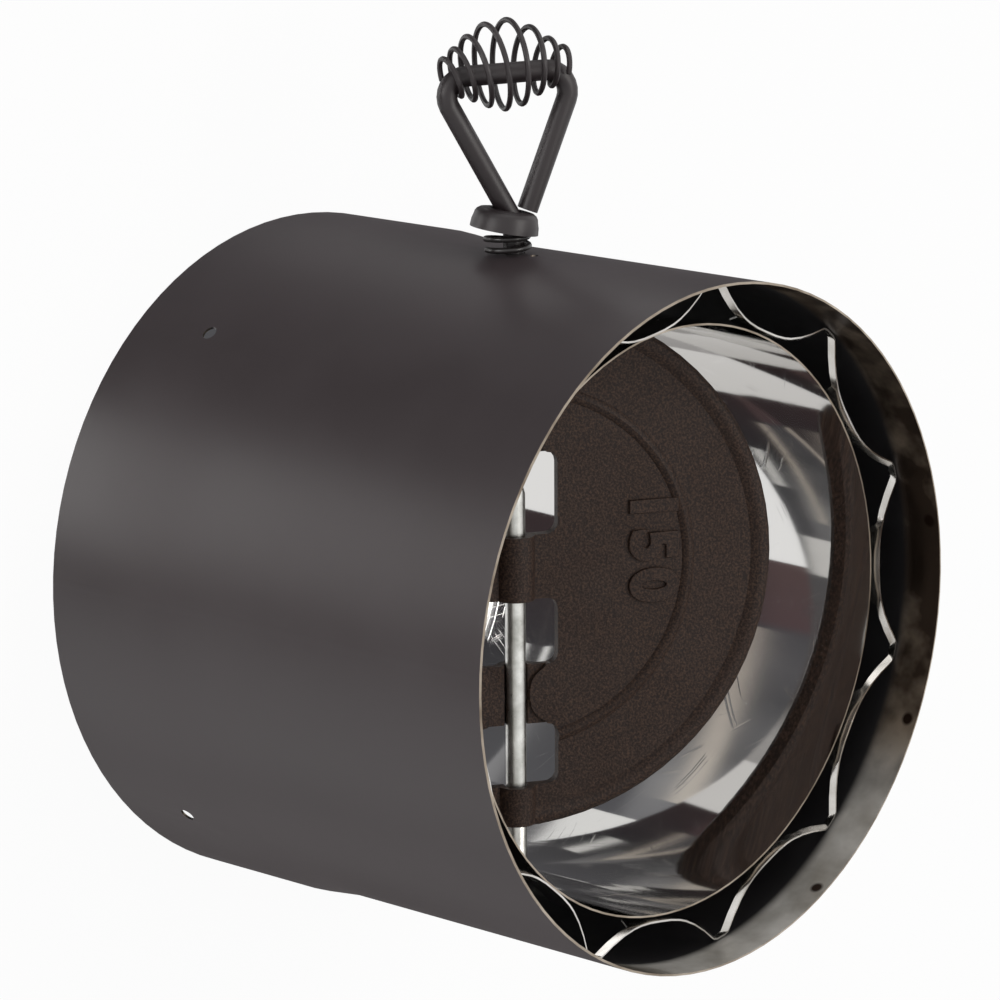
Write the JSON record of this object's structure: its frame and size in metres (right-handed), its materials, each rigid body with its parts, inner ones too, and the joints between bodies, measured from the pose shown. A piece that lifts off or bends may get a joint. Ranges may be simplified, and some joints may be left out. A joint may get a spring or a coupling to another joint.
{
  "type": "double-wall stove pipe section with damper",
  "caption": "Double-wall stove pipe section: black shell, polished liner on V-bent standoffs, and a tilting cast plate on a spring-held rod with a coil-grip handle.",
  "frame": {"origin": "on the pipe's axis, in the plane of the shell's swelled lower edge", "axes": "+Z along the flue from the swelled end to the plain end, +X along the rod to the handle, +Y to the right when the handle faces the viewer and the plain end is up"},
  "size_m": [0.242, 0.1806, 0.1524],
  "materials": {
    "black_paint": "satin black paint",
    "bright_steel": "polished stainless",
    "strip_steel": "bright stainless strip",
    "cast_iron": "dark brown, as cast",
    "zinc": "bright zinc in the pipe, black paint on the handle",
    "handle_black": "satin black",
    "spring_black": "black spring steel"
  },
  "bodies": {
    "flue": {"outer_shell": "black_paint", "inner_liner": "bright_steel", "spacer_ring_front": "strip_steel", "spacer_ring_rear": "strip_steel"},
    "spring": {"tension_spring": "spring_black"},
    "damper": {"damper_plate": "cast_iron", "damper_rod": "zinc", "grip_coil": "handle_black", "spring_cup": "handle_black"}
  },
  "joints": [
    {"name": "damper_turn", "type": "hinge", "parent": "flue", "child": "spring", "pos_m": [0, 0, 0.0805], "axis": [1, 0, 0], "continuous": true},
    {"name": "press_in", "type": "slide", "parent": "spring", "child": "damper", "axis": [-1, 0, 0], "range_m": [0, 0.003], "stiffness_N_per_m": 4000, "springref_m": -0.002, "deforming": ["tension_spring"]}
  ]
}
